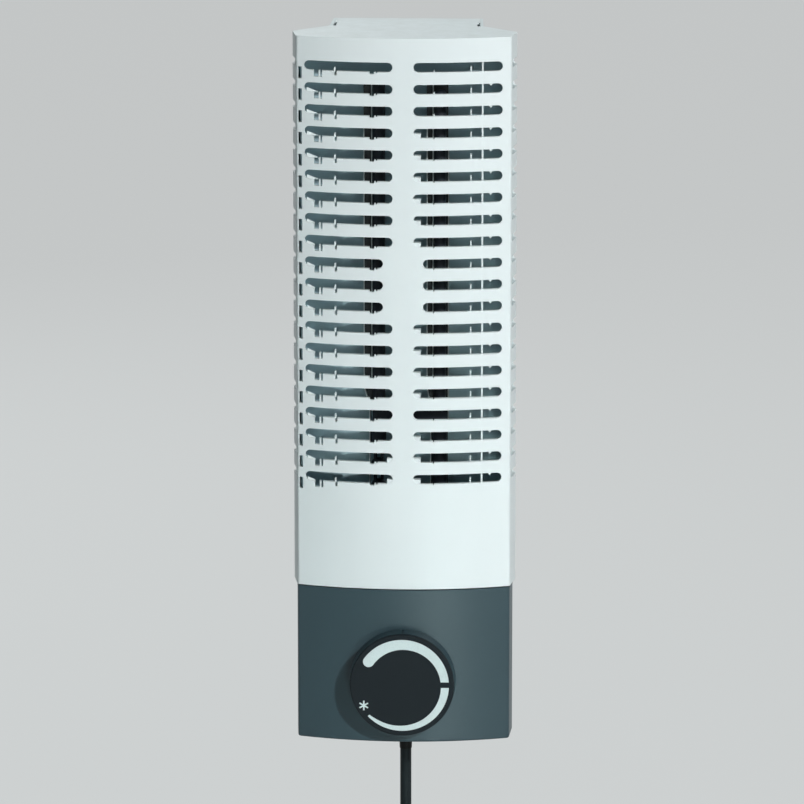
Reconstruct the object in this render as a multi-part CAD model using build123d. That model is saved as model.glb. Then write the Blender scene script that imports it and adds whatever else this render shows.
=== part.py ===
from build123d import *

import os
from math import atan, cos, degrees, hypot, pi, radians, sin, sqrt, tan

# Slim wall-hung frost-guard heater: a white louvred cover over two black heating rods, a dark lower
# panel with a thermostat knob, a narrow casing that hangs on a wall bracket, and a mains lead.
# Millimetres. X is to the right, Y runs into the wall, Z is up. The wall is the plane Y = 0, and the
# origin lies on it, on the centre line, at half the heater's height.

# Outer shape
HEIGHT = 400.0
TOP = HEIGHT / 2
BOTTOM = -HEIGHT / 2
SEAM_Z = -112.0
SEAM_GAP = 0.7
DEPTH = 80.0
BULGE = 10.7
FRONT_Y = -DEPTH
CORNER_Y = FRONT_Y + BULGE
FRONT_HALF = 59.6
SIDE_HALF = 62.5
SIDE_Y = -51.3
NECK_HALF = 43.0
NECK_Y = -30.3
PANEL_SIDE_HALF = 60.9
FOOT_HALF = 42.0
WALL = 2.5
CORNER_R = 2.0
SIDE_R = 2.5
BOTTOM_R = 1.2

# Louvres
ROWS = 20
ROW_1_Z = 184.0
ROW_PITCH = 12.22
SLOT_HEIGHT = 5.3
SLOT_OUT = 54.8
SLOT_IN = 5.75
BADGE_SLOT_IN = 11.1
BADGE_ROWS = (10, 11, 12)
FULL_SLOT_ROWS = (1, 2, 3, 10, 11, 12, 17)
INNER_STEP_ROWS = (19, 20)
RIB_TOOTH_ROWS = (1, 2, 3)
SIDE_SLOT_FRONT = -66.5
SIDE_SLOT_BACK = -49.0
SIDE_SLOT_HEIGHT = 4.0
SIDE_SLOT_RISE = 0.5
SLOT_BACK_Y = -54.0
SLOT_FRONT_Y = -86.0
SIDE_SLOT_X = 58.5
CUT_DEPTH = 9.0

# Slits and notches below the slots, from left to right
SLIT_X = (-58.3, -56.3)
SLIT_DROP = 1.1
SLIT_HEIGHT = 6.6
LATCH_X = (-49.5, -46.8)
LATCH_SIDE_X = (-45.85, -44.85)
LATCH_BELOW = 3.6
RIB_NOTCH_X = (-37.9, -36.7)
RIB_NOTCH_BELOW = 2.4
GATE_X = (-18.5, -15.9)
GATE_BELOW = 1.2
GATE_SIDE_X = (-15.0, -14.2)
GATE_SIDE_BELOW = 0.7
NICK_X = (16.8, 17.4)
NICK_BELOW = 0.8

# Teeth on the slots' edges, and the sloped wedge at the left ends
LEFT_TOOTH_X = (-38.3, -37.4)
LEFT_TOOTH = 1.7
RIGHT_TOOTH_X = (37.1, 37.8)
RIGHT_TOOTH = 2.7
SMALL_TOOTH = 0.8
TOOTH_SET_BACK = 1.6
TOOTH_DEPTH = 3.0
STEP_X = (5.2, 9.8)
INNER_STEP_X = (-8.8, -5.2)
STEP_RISE = 2.4
HANG_X = 48.3
HANG_HALF = 1.4
HANG_DROP = 1.4
WEDGE_LEFT = -53.6
WEDGE_RIGHT = -47.2
WEDGE_RISE = 2.5
SMALL_WEDGE_FROM_ROW = 7
SMALL_WEDGE_RIGHT = -49.2
SMALL_WEDGE_RISE = 2.0
WEDGE_ROOT = 1.2
WEDGE_THICK = 2.4
WEDGE_LEAN = 24.0
RIGHT_RIB_X = 43.8

# Rear casing and bracket
CASING = 1.8
WEB_Y = -8.0
LIP_Y = -49.0
LIP_IN = 33.0
BRACKET = 1.5
BRACKET_HALF = 30.0
BRACKET_TOP = 150.0
BRACKET_HOLE_R = 2.75
BRACKET_HOLE_Z = 100.0
HOOK_Z = 70.0
HOOK_HALF = 7.5
HOOK_REACH = 10.5
HOOK_RISE = 9.0
TAB_HALF = 12.0
LOCK_Y = -15.0
LOCK_R = 2.0
CHASSIS_SCREW_Z = (-180.0, -100.0, -22.9, 75.6, 174.0)

# Screws through the slanted rear walls
SLANT_MID_X = 53.0
COVER_SCREW_Z = -88.0
PANEL_SCREW_Z = -150.0

# Heating chamber
SHEET = 1.0
SHEET_Y = LIP_Y - SHEET
LINER_GAP = 0.25
LINER_FRONT_Y = -66.9
ROD_MIDDLE_X = 2.8
ROD_SPREAD = 17.1
ROD_Y = -59.3
ROD_R = 3.4
LEFT_ROD_TOP = 172.5
RIGHT_ROD_TOP = 168.8
LEFT_ROD_END = -34.0
RIGHT_ROD_END = -60.0
SLEEVE_R = 4.2
SHELF_Z = -66.0
PIN_OFFSET = 1.9
PIN_R = 0.9
PIN_END = -80.0
BEAD_TOPS = (-40.2, -40.2 - ROW_PITCH)
BEAD_HEIGHT = 9.0
CRADLE_GAUGE = 0.7
CRADLE_TOP = 172.0
CRADLE_LIP_TOP = 150.0
FAR_LIP_TOP = 140.0
CRADLE_BEND_TOP = 0.5
CRADLE_BEND_LOW = -11.5
CRADLE_LOW = -60.0
CRADLE_LIP = 0.6
OUTER_LIP_Y = -60.0
MID_LIP_Y = -59.4
FAR_LIP_Y = -58.0
CRADLE_SLOT_TOP = -13.5
LEFT_FLOOR_LOW = -33.0
LEFT_LIP_FROM_ROD = 8.5
RIGHT_LIP_FROM_ROD = 7.5
LOW_LIP_FROM_ROD = 5.4
MID_LIP_FROM_ROD = 4.2
FAR_LIP_FROM_ROD = 4.4
STRAP_BOTTOM = -20.6
STRAP_TOP = -9.6
STRAP_LEFT = -16.2
STRAP_RIGHT = 24.2
STRAP_SLANT = 1.7
TOP_STRAP_LOW = 157.5
TOP_STRAP_HIGH = 163.5
SPACER_Z = (-28.0, 90.0)
TOP_SPACER_X = (-5.0, 11.0)
LEAD_HOLES = ((-18.0, -120.0), (-6.0, -120.0), (10.0, -90.0), (-10.0, -90.0))
LIMITER_X = 17.0
LIMITER_Z = 140.0
LIMITER_R = 8.0

# Knob and thermostat
DIAL_Z = -164.0
KNOB_R = 29.2
KNOB_FACE_Y = -91.3
KNOB_EDGE = 2.1
KNOB_SKIN = 2.0
SKIRT_R = 26.6
COLLAR_R = 29.7
COLLAR_RIM_R = 29.3
COLLAR_RIM_Y = -88.9
COLLAR_WELL_R = 27.2
COLLAR_Y = -84.3
RECESS_Y = -78.5
KNOB_BACK_Y = COLLAR_Y - 0.4
INDEX_HALF = 0.7
INDEX_DEPTH = 0.8
HUB_R = 6.0
SPINDLE_R = 3.0
SPINDLE_FLAT = 2.0
RUNNING_GAP = 0.05
SCALE_R = 26.3
SCALE_START = -137.0
SCALE_END = 144.0
SCALE_THIN = 1.2
SCALE_THICK = 6.3
SCALE_GROWTH = 0.6
SCALE_STEPS = 24
SCALE_GAP = 3.2
PRINT_DEPTH = 0.3
FROST_ANGLE = 208.8
FROST_R = 24.5
FROST_ARM = 2.75
FROST_ARM_WIDTH = 0.85
DIAL_MIN = -54.0
DIAL_MAX = 241.0
PANEL_SEAT_Y = -75.0
BOX_BACK_Y = -59.0
BOX_LEFT = -26.0
BOX_RIGHT = 20.0
BOX_TOP = -147.0
BOX_BOTTOM = -188.0
BOX_WALL = 1.5
SCREW_PITCH = 28.0
CAM_Y = -71.9
CAM_THICK = 3.0
CAM_LOW = 6.0
CAM_RISE = 3.0
NOSE_R = 1.5
NOSE_GAP = 0.15
LEVER_X = -14.0
STRIP_OUT = 6.0
TAB_X = (-18.0, -8.0)
TAB_Y = -64.0
TAB_END = BOX_TOP + 8

# Mains lead
CORD_R = 3.2
CORD_Y = -38.0
INNER_CORD_TOP = -172.0
BLOCK_Z = (-152.0, -132.0)
CORE_X = 8.0
CORE_Y = -16.0
LEAD_R = 1.3
GLAND_TIP = -214.5
HANK_TOP = -256.0
RUN_HALF = 50.0
FOLD_R = 19.2
HALF_STEP = 4.3
WAIST_X = 4.8
LAYER = 7.1
PASSES = 7
TAIL_DROP = 22.0
TAIL_FORWARD = 3.6
TIE_HALF = 4.0
TIE_GAUGE = 1.2
PLUG_WIDTH = 35.3
PLUG_THICK = 13.7
PLUG_BODY = 36.0
PLUG_TAIL = 20.0
PLUG_PIN_R = 2.0
PLUG_PIN_LENGTH = 19.0
PLUG_PIN_X = 9.3
PLUG_PIN_TIP_X = 8.8
PLUG_PIN_ROOT = 4.0

os.makedirs("parts", exist_ok=True)


def save(node, shape):
    export_step(shape, f"parts/{node}.step")


def block(x0, x1, y0, y1, z0, z1):
    return Pos((x0 + x1) / 2, (y0 + y1) / 2, (z0 + z1) / 2) * Box(
        abs(x1 - x0), abs(y1 - y0), abs(z1 - z0)
    )


def post(radius, x, y, z0, z1):
    return Pos(x, y, (z0 + z1) / 2) * Cylinder(radius, abs(z1 - z0))


def bar(radius, x, z, y0, y1):
    return Pos(x, (y0 + y1) / 2, z) * Rot(90, 0, 0) * Cylinder(radius, abs(y1 - y0))


def prism(points, z0, z1):
    return extrude(Pos(0, 0, z0) * make_face(Polyline(*points, close=True)), z1 - z0)


def side_plate(points, y0, y1):
    # a flat shape given by X and Z, with its thickness along Y
    face = make_face(Polyline(*[(x, z) for x, z in points], close=True))
    return Pos(0, y1, 0) * Rot(90, 0, 0) * extrude(face, y1 - y0)


def mirrored(shape):
    return mirror(shape, about=Plane.YZ)


def near(vertex, x, y):
    return abs(abs(vertex.X) - x) < 0.01 and abs(vertex.Y - y) < 0.01


# Outline of the cover and the panel, seen from above: the panel's sides flare less
def slant_y(x):
    # where the slanted rear wall stands at this distance from the centre line
    return SIDE_Y + (SIDE_HALF - x) * (NECK_Y - SIDE_Y) / (SIDE_HALF - NECK_HALF)


def body_outline(side_half=SIDE_HALF):
    front = ThreePointArc((-FRONT_HALF, CORNER_Y), (0, FRONT_Y), (FRONT_HALF, CORNER_Y))
    rest = Polyline(
        (FRONT_HALF, CORNER_Y),
        (side_half, slant_y(side_half)),
        (NECK_HALF, NECK_Y),
        (-NECK_HALF, NECK_Y),
        (-side_half, slant_y(side_half)),
        (-FRONT_HALF, CORNER_Y),
    )
    return make_face(front + rest)


def rounded_outline(side_half=SIDE_HALF):
    face = body_outline(side_half)
    face = fillet([v for v in face.vertices() if near(v, FRONT_HALF, CORNER_Y)], CORNER_R)
    return fillet([v for v in face.vertices() if near(v, side_half, slant_y(side_half))], SIDE_R)


def inner_outline(inset=WALL, side_half=SIDE_HALF):
    return offset(body_outline(side_half), -inset, kind=Kind.INTERSECTION)


def front_surface_y(x):
    radius = (FRONT_HALF**2 + BULGE**2) / (2 * BULGE)
    return FRONT_Y + radius - sqrt(radius**2 - x**2)


def row_z(row):
    return ROW_1_Z - (row - 1) * ROW_PITCH


def neck_opening(z0, z1):
    return block(-NECK_HALF, NECK_HALF, NECK_Y - 6, NECK_Y + 1, z0, z1)


# Cover: front, sides and slanted rear walls in one moulding, with a tongue over the casing
def front_slot(side, row):
    inner = BADGE_SLOT_IN if row in BADGE_ROWS else SLOT_IN
    slot = extrude(SlotOverall(SLOT_OUT - inner, SLOT_HEIGHT), SLOT_BACK_Y - SLOT_FRONT_Y)
    return Pos(side * (SLOT_OUT + inner) / 2, SLOT_BACK_Y, row_z(row)) * Rot(90, 0, 0) * slot


def side_slot(side, row):
    length = SIDE_SLOT_BACK - SIDE_SLOT_FRONT
    slot = extrude(SlotOverall(length, SIDE_SLOT_HEIGHT), CUT_DEPTH, both=True)
    middle = (SIDE_SLOT_FRONT + SIDE_SLOT_BACK) / 2
    place = Pos(side * SIDE_SLOT_X, middle, row_z(row) + SIDE_SLOT_RISE)
    return place * Rot(0, 90, 0) * Rot(0, 0, 90) * slot


def cut_below_slot(span, row, below):
    # from inside the slot to this far below its lower edge
    edge = row_z(row) - SLOT_HEIGHT / 2
    front = front_surface_y(sum(span) / 2)
    return block(*span, front - 2, front + CUT_DEPTH, edge - below, edge + 0.6)


def slit(row):
    top = row_z(row) - SLIT_DROP
    front = front_surface_y(sum(SLIT_X) / 2)
    return block(*SLIT_X, front - 2, front + CUT_DEPTH, top - SLIT_HEIGHT, top)


def tooth(span, row, rise, set_back=0.5, depth=4.0):
    base = row_z(row) - SLOT_HEIGHT / 2
    front = front_surface_y(sum(span) / 2) + set_back
    return block(*span, front, front + depth, base - 0.5, base + rise)


def hanging_nick(row):
    edge = row_z(row) + SLOT_HEIGHT / 2
    front = front_surface_y(HANG_X) + 0.4
    points = [
        (HANG_X - HANG_HALF, edge + 0.4),
        (HANG_X + HANG_HALF, edge + 0.4),
        (HANG_X, edge - HANG_DROP),
    ]
    return side_plate(points, front, front + 3.5)


def slot_wedge(row):
    # a sloped facet that fills the lower left corner of the slot
    small = row >= SMALL_WEDGE_FROM_ROW
    width = (SMALL_WEDGE_RIGHT if small else WEDGE_RIGHT) - WEDGE_LEFT
    rise = SMALL_WEDGE_RISE if small else WEDGE_RISE
    root = LATCH_X[0] - WEDGE_LEFT
    points = [(0, -WEDGE_ROOT), (root, -WEDGE_ROOT), (root, 0), (width, 0), (0, rise)]
    front = front_surface_y(WEDGE_LEFT) + 0.5
    base = row_z(row) - SLOT_HEIGHT / 2
    return Pos(WEDGE_LEFT, front, base) * Rot(-WEDGE_LEAN, 0, 0) * side_plate(points, 0, WEDGE_THICK)


def upright_rib(x, width, top_row, low_row, set_back, depth):
    front = front_surface_y(x) + set_back
    low = row_z(low_row) - SLOT_HEIGHT
    return block(x - width / 2, x + width / 2, front, front + depth, low, row_z(top_row) + SLOT_HEIGHT)


def cuts_of_row(row):
    cuts = [front_slot(side, row) for side in (-1, 1)]
    cuts += [side_slot(side, row) for side in (-1, 1)]
    cuts.append(slit(row))
    cuts.append(cut_below_slot(LATCH_X, row, LATCH_BELOW))
    cuts.append(cut_below_slot(LATCH_SIDE_X, row, LATCH_BELOW))
    cuts.append(cut_below_slot(RIB_NOTCH_X, row, RIB_NOTCH_BELOW))
    cuts.append(cut_below_slot(GATE_X, row, GATE_BELOW))
    cuts.append(cut_below_slot(GATE_SIDE_X, row, GATE_SIDE_BELOW))
    if row not in RIB_TOOTH_ROWS:
        cuts.append(cut_below_slot(NICK_X, row, NICK_BELOW))
    return cuts


def teeth_of_row(row):
    teeth = [
        tooth(LEFT_TOOTH_X, row, LEFT_TOOTH, TOOTH_SET_BACK, TOOTH_DEPTH),
        tooth(RIGHT_TOOTH_X, row, RIGHT_TOOTH, TOOTH_SET_BACK, TOOTH_DEPTH),
    ]
    if row in RIB_TOOTH_ROWS:
        teeth.append(tooth(NICK_X, row, SMALL_TOOTH))
    if row in INNER_STEP_ROWS:
        teeth.append(tooth(INNER_STEP_X, row, STEP_RISE))
    if row > 1:
        teeth.append(hanging_nick(row))
        teeth.append(slot_wedge(row))
    if row not in FULL_SLOT_ROWS:
        teeth.append(tooth(STEP_X, row, STEP_RISE))
    return teeth


def make_front_cover():
    low = SEAM_Z + SEAM_GAP
    shell = extrude(Pos(0, 0, low) * rounded_outline(), TOP - low)
    shell -= extrude(Pos(0, 0, low) * inner_outline(), TOP - WALL - low)
    shell -= neck_opening(low, TOP - WALL)
    rows = range(1, ROWS + 1)
    shell -= [cut for row in rows for cut in cuts_of_row(row)]
    shell -= [cover_screw_hole(side, COVER_SCREW_Z, 1.75) for side in (-1, 1)]
    shell += [upright_rib(RIGHT_RIB_X, 0.9, 1, ROWS, 0.8, 3.6)]
    shell += [shape for row in rows for shape in teeth_of_row(row)]
    tongue = [
        (-NECK_HALF + 1, NECK_Y - 3),
        (-39.4, NECK_Y - 3),
        (-39.4, -16.0),
        (-40.6, -16.0),
        (-40.1, -0.3),
        (40.1, -0.3),
        (40.6, -16.0),
        (39.4, -16.0),
        (39.4, NECK_Y - 3),
        (NECK_HALF - 1, NECK_Y - 3),
    ]
    return shell + prism(tongue, TOP - WALL, TOP)


# Lower panel: the dark shell with its floor, and the raised collar round the dial
def collar_recess():
    return bar(COLLAR_R, 0, DIAL_Z, COLLAR_Y - 2, RECESS_Y)


def dial_holes():
    holes = [bar(HUB_R + 0.6, 0, DIAL_Z, COLLAR_Y - 1, PANEL_SEAT_Y + 1)]
    for side in (-1, 1):
        holes.append(bar(LOCK_R, side * SCREW_PITCH / 2, DIAL_Z, COLLAR_Y - 1, PANEL_SEAT_Y + 1))
    return holes


def make_dial_collar():
    # a slightly tapered ring round a shallow well, with the index notch at its top
    rise = FRONT_Y - COLLAR_RIM_Y
    ring = Pos(0, FRONT_Y - rise / 2, DIAL_Z) * Rot(90, 0, 0) * Cone(COLLAR_R, COLLAR_RIM_R, rise)
    ring += bar(COLLAR_R, 0, DIAL_Z, FRONT_Y, PANEL_SEAT_Y - 1.5)
    ring -= extrude(Pos(0, 0, BOTTOM) * body_outline(), SEAM_Z - BOTTOM) - collar_recess()
    ring -= bar(COLLAR_WELL_R, 0, DIAL_Z, COLLAR_RIM_Y - 1, COLLAR_Y)
    notch_low = DIAL_Z + COLLAR_RIM_R - INDEX_DEPTH
    ring -= block(-INDEX_HALF, INDEX_HALF, COLLAR_RIM_Y - 1, FRONT_Y - 0.5, notch_low, notch_low + 4)
    return ring - dial_holes()


def make_control_panel():
    shell = extrude(Pos(0, 0, BOTTOM) * rounded_outline(PANEL_SIDE_HALF), SEAM_Z - BOTTOM)
    shell = fillet(shell.faces().sort_by(Axis.Z)[0].edges(), BOTTOM_R)
    shell -= extrude(Pos(0, 0, BOTTOM + WALL) * inner_outline(WALL, PANEL_SIDE_HALF), HEIGHT)
    shell -= neck_opening(BOTTOM + WALL, SEAM_Z)
    lip = extrude(Pos(0, 0, SEAM_Z - 4) * inner_outline(WALL, PANEL_SIDE_HALF), 9)
    lip -= extrude(Pos(0, 0, SEAM_Z - 4) * inner_outline(WALL + 1.5, PANEL_SIDE_HALF), 9)
    lip -= neck_opening(SEAM_Z - 5, SEAM_Z + 6)
    lip -= block(-70, 70, NECK_Y - 12, NECK_Y + 1, SEAM_Z - 5, SEAM_Z + 6)
    shell += lip
    shell += block(-20, 20, PANEL_SEAT_Y - 3, PANEL_SEAT_Y, DIAL_Z - 12, DIAL_Z + 12)
    shell -= [collar_recess(), *dial_holes()]
    for side in (-1, 1):
        shell -= post(1.75, side * 38, -58, BOTTOM - 1, BOTTOM + WALL + 1)
        shell -= Pos(side * 38, -58, BOTTOM + 0.9) * Cone(3.4, 1.6, 1.8)
        shell -= cover_screw_hole(side, PANEL_SCREW_Z, 1.75)
    shell -= post(5.0, 0, CORD_Y, BOTTOM - 1, BOTTOM + WALL + 1)
    return shell


# Screws through the slanted rear walls, square to them
SLANT = hypot(SIDE_HALF - NECK_HALF, SIDE_Y - NECK_Y)
SLANT_X = (NECK_Y - SIDE_Y) / SLANT
SLANT_Y = (SIDE_HALF - NECK_HALF) / SLANT
SLANT_MID_Y = slant_y(SLANT_MID_X)


def slant_place(side, z):
    # local Z points out of the slanted wall
    return Location(Plane((side * SLANT_MID_X, SLANT_MID_Y, z), z_dir=(side * SLANT_X, SLANT_Y, 0)))


def cover_screw_hole(side, z, radius):
    return slant_place(side, z) * Pos(0, 0, -1.5) * Cylinder(radius, 6)


def slant_screws(z):
    screws = []
    for side in (-1, 1):
        head = Pos(0, 0, 1.0) * Cylinder(3.2, 2.0)
        head -= Pos(0, 0, 1.6) * Box(4.4, 0.9, 1.2)
        head -= Pos(0, 0, 1.6) * Box(0.9, 4.4, 1.2)
        shank = Pos(0, 0, -3.75) * Cylinder(1.5, 7.5)
        screws.append(slant_place(side, z) * (head + shank))
    return Compound(screws)


# Rear casing: a deep channel whose web hangs on the bracket
def casing_wall():
    inner = NECK_HALF - CASING
    points = [
        (NECK_HALF, LIP_Y),
        (NECK_HALF, NECK_Y),
        (FOOT_HALF, 0),
        (FOOT_HALF - CASING, 0),
        (inner, NECK_Y),
        (inner, LIP_Y),
    ]
    wall = prism(points, BOTTOM, TOP)
    wall -= block(30, 50, LIP_Y - 1, NECK_Y, TOP - WALL, TOP + 1)
    wall -= block(30, 50, LIP_Y - 1, NECK_Y, BOTTOM - 1, BOTTOM + WALL)
    lip = block(LIP_IN, inner + 0.4, LIP_Y, LIP_Y + CASING, BOTTOM + WALL, TOP - 10)
    return wall + lip


def make_rear_casing():
    wall = casing_wall()
    casing = wall + mirrored(wall)
    inner = FOOT_HALF - CASING + 0.5
    casing += block(-inner, inner, WEB_Y, WEB_Y + CASING, BOTTOM, TOP - WALL)
    flange = [
        (-NECK_HALF + 1, NECK_Y),
        (NECK_HALF - 1, NECK_Y),
        (FOOT_HALF - 1, -BRACKET),
        (-FOOT_HALF + 1, -BRACKET),
    ]
    casing += prism(flange, BOTTOM + BRACKET, BOTTOM + BRACKET + CASING)
    casing -= block(-TAB_HALF - 0.7, TAB_HALF + 0.7, WEB_Y - 1, WEB_Y + 3, BOTTOM - 1, BOTTOM + BRACKET)
    for side in (-1, 1):
        casing -= block(
            -HOOK_HALF - 0.7,
            HOOK_HALF + 0.7,
            WEB_Y - 1,
            WEB_Y + CASING + 1,
            side * HOOK_Z - HOOK_RISE - 1.5,
            side * HOOK_Z + BRACKET,
        )
        for z in CHASSIS_SCREW_Z:
            casing -= bar(1.5, side * 37, z, LIP_Y - 1, LIP_Y + CASING + 1)
        casing += block(side * 7, side * 17, CORD_Y + CORD_R, WEB_Y + 0.5, -190, -178)
        casing -= bar(1.25, side * 12, -184, CORD_Y, CORD_Y + 16)
    casing += block(-7.5, 7.5, CORD_Y + CORD_R, WEB_Y + 0.5, -190, -178)
    casing -= post(LOCK_R, 0, LOCK_Y, BOTTOM, BOTTOM + 6)
    return casing


# Wall bracket: a steel strip with two hooks and a bottom tab for the lock screw
def make_wall_bracket():
    bracket = block(-BRACKET_HALF, BRACKET_HALF, -BRACKET, 0, BOTTOM, BRACKET_TOP)
    bracket += block(-TAB_HALF, TAB_HALF, -24, 0, BOTTOM, BOTTOM + BRACKET)
    for side in (-1, 1):
        z = side * HOOK_Z
        bracket += block(-HOOK_HALF, HOOK_HALF, -HOOK_REACH, 0, z, z + BRACKET)
        bracket += block(-HOOK_HALF, HOOK_HALF, -HOOK_REACH, -HOOK_REACH + BRACKET, z, z + HOOK_RISE)
        bracket -= bar(BRACKET_HOLE_R, 0, side * BRACKET_HOLE_Z, -BRACKET - 1, 1)
    bracket -= post(LOCK_R + 0.25, 0, LOCK_Y, BOTTOM - 1, BOTTOM + 3)
    return bracket


def make_lock_screw():
    head = post(3.8, 0, LOCK_Y, BOTTOM - 2.4, BOTTOM)
    head -= block(-3, 3, LOCK_Y - 0.5, LOCK_Y + 0.5, BOTTOM - 2.5, BOTTOM - 1.4)
    return head + post(LOCK_R, 0, LOCK_Y, BOTTOM, BOTTOM + 10)


# Sheet metal inside
def make_reflector():
    # a plate whose sides fold forward along the cover's side walls
    half = 56.0
    low = SHELF_Z + 0.2
    top = TOP - 10
    liner = extrude(Pos(0, 0, low) * inner_outline(WALL + LINER_GAP), top - low)
    liner -= extrude(Pos(0, 0, low) * inner_outline(WALL + LINER_GAP + SHEET), top - low)
    sheet = block(-half, half, SHEET_Y, LIP_Y, low, top)
    for side in (-1, 1):
        sheet += liner & block(side * (half - 2), side * SIDE_HALF, LINER_FRONT_Y, LIP_Y - 0.4, low, top)
        for z in CHASSIS_SCREW_Z[2:]:
            sheet -= bar(1.5, side * 37, z, SHEET_Y - 1, LIP_Y + 1)
    return sheet


def make_control_chassis():
    back = block(-54, 54, SHEET_Y, LIP_Y, BOTTOM + WALL, SHELF_Z)
    shelf = block(-58, 58, -76, LIP_Y, SHELF_Z - SHEET, SHELF_Z)
    shelf &= extrude(Pos(0, 0, SHELF_Z - SHEET) * inner_outline(WALL + 0.2), SHEET)
    foot = block(-45, 45, -66, LIP_Y, BOTTOM + WALL, BOTTOM + WALL + SHEET)
    chassis = back + shelf + foot
    for side in (-1, 1):
        for z in (COVER_SCREW_Z, PANEL_SCREW_Z):
            chassis += wing_fold(side, z, 24.0)
            chassis -= slant_place(side, z) * Pos(0, 0, -3) * Cylinder(1.5, 6)
        for z in CHASSIS_SCREW_Z[:2]:
            chassis -= bar(1.5, side * 37, z, SHEET_Y - 1, LIP_Y + 1)
        chassis -= post(1.5, side * 38, -58, BOTTOM, BOTTOM + 6)
        chassis -= post(4.5, rod_x(side), ROD_Y, SHELF_Z - 2, SHELF_Z + 1)
    for x, z in LEAD_HOLES:
        chassis -= bar(3.0, x, z, SHEET_Y - 1, LIP_Y + 1)
    return chassis


def wing_fold(side, z, tall):
    # a flange folded back from the sheet's edge, flat against the slanted wall
    x1 = NECK_HALF + 1.5
    x0 = 54.0

    def on_wall(x, inset):
        return (side * x, slant_y(x) - inset / SLANT_Y)

    points = [
        on_wall(x0, WALL),
        on_wall(x1, WALL),
        on_wall(x1, WALL + SHEET),
        on_wall(x0 - 2, WALL + SHEET),
        (side * 50, LIP_Y),
        (side * 50, SHEET_Y),
        (side * x0, SHEET_Y),
    ]
    return prism(points, z - tall / 2, z + tall / 2)


def pan_screw_y(x, z, seat_y, length, radius=1.5, head_r=2.8):
    # a screw driven along +Y, its head in front of seat_y
    head = bar(head_r, x, z, seat_y - 1.8, seat_y)
    head -= block(x - 2, x + 2, seat_y - 2.0, seat_y - 0.9, z - 0.4, z + 0.4)
    return head + bar(radius, x, z, seat_y, seat_y + length)


def make_chassis_screws():
    places = [(side * 37, z) for side in (-1, 1) for z in CHASSIS_SCREW_Z]
    return Compound([pan_screw_y(x, z, SHEET_Y, 7) for x, z in places])


def make_panel_screws():
    screws = []
    for side in (-1, 1):
        head = Pos(side * 38, -58, BOTTOM + 0.9) * Cone(3.4, 1.6, 1.8)
        head -= block(side * 38 - 1.8, side * 38 + 1.8, -58.4, -57.6, BOTTOM - 0.5, BOTTOM + 0.7)
        screws.append(head + post(1.5, side * 38, -58, BOTTOM + 1.8, BOTTOM + 9))
    return Compound(screws)


# Heating rods and what holds them
def rod_x(side):
    return ROD_MIDDLE_X + side * ROD_SPREAD


def pins(side, z0, z1):
    return [post(PIN_R, rod_x(side) + offset_x, ROD_Y, z0, z1) for offset_x in (-PIN_OFFSET, PIN_OFFSET)]


def make_rod(side, top, end):
    rod = post(ROD_R, rod_x(side), ROD_Y, end, top)
    rod = fillet(rod.edges().group_by(Axis.Z)[-1], 2.8)
    return rod + pins(side, PIN_END, end)


def make_sleeves():
    sleeves = []
    for side, end in ((-1, LEFT_ROD_END), (1, RIGHT_ROD_END)):
        sleeve = post(SLEEVE_R, rod_x(side), ROD_Y, end, STRAP_BOTTOM)
        sleeves.append(sleeve - post(ROD_R, rod_x(side), ROD_Y, end - 1, STRAP_BOTTOM + 1))
    return Compound(sleeves)


def bush(side, top):
    body = post(4.5, rod_x(side), ROD_Y, SHELF_Z - 5, SHELF_Z)
    body += post(5.6, rod_x(side), ROD_Y, SHELF_Z, top)
    return body - pins(side, SHELF_Z - 6, top + 1)


def make_bead(top):
    bead = post(SLEEVE_R, rod_x(-1), ROD_Y, top - BEAD_HEIGHT, top)
    bead = fillet(bead.edges().group_by(Axis.Z)[-1], 3.4)
    return bead - pins(-1, top - BEAD_HEIGHT - 1, top + 1)


CRADLE_FRONT = ROD_Y + SLEEVE_R
CRADLE_BACK = CRADLE_FRONT + CRADLE_GAUGE


def make_cradle(side):
    # a folded channel: its left lip steps in below the bend, and a second lip stands beside the rod
    x = rod_x(side)
    outer = x - (RIGHT_LIP_FROM_ROD if side > 0 else LEFT_LIP_FROM_ROD)
    stepped = x - LOW_LIP_FROM_ROD
    far = x + FAR_LIP_FROM_ROD if side > 0 else x + ROD_R
    edge = [
        (outer, CRADLE_LIP_TOP),
        (outer, CRADLE_BEND_TOP),
        (stepped, CRADLE_BEND_LOW),
        (stepped, CRADLE_LOW),
    ]
    floor = [(outer, CRADLE_TOP), *edge[1:], (far, CRADLE_LOW), (far, CRADLE_TOP)]
    lip = edge + [(px + CRADLE_LIP, pz) for px, pz in reversed(edge)]
    cradle = side_plate(floor, CRADLE_FRONT, CRADLE_BACK)
    cradle += side_plate(lip, OUTER_LIP_Y, CRADLE_BACK)
    mid = x - MID_LIP_FROM_ROD
    cradle += block(mid, mid + CRADLE_LIP, MID_LIP_Y, CRADLE_BACK, CRADLE_BEND_TOP, CRADLE_TOP)
    if side > 0:
        low = STRAP_BOTTOM + 0.5
        return cradle + block(far, far + CRADLE_LIP, FAR_LIP_Y, CRADLE_BACK, low, FAR_LIP_TOP)
    slot = block(stepped + 1, x - 1, CRADLE_FRONT - 1, CRADLE_BACK + 1, STRAP_BOTTOM, CRADLE_SLOT_TOP)
    open_foot = block(
        stepped + CRADLE_LIP, far + 1, CRADLE_FRONT - 1, CRADLE_BACK + 1, CRADLE_LOW - 1, LEFT_FLOOR_LOW
    )
    return cradle - slot - open_foot


def make_spacers():
    places = [(rod_x(side), z) for side in (-1, 1) for z in SPACER_Z]
    spacers = [bar(3.0, x, z, CRADLE_BACK, SHEET_Y) for x, z in places]
    middle = (TOP_STRAP_LOW + TOP_STRAP_HIGH) / 2
    spacers += [bar(2.8, x, middle, CRADLE_BACK + SHEET, SHEET_Y) for x in TOP_SPACER_X]
    return Compound(spacers)


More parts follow.
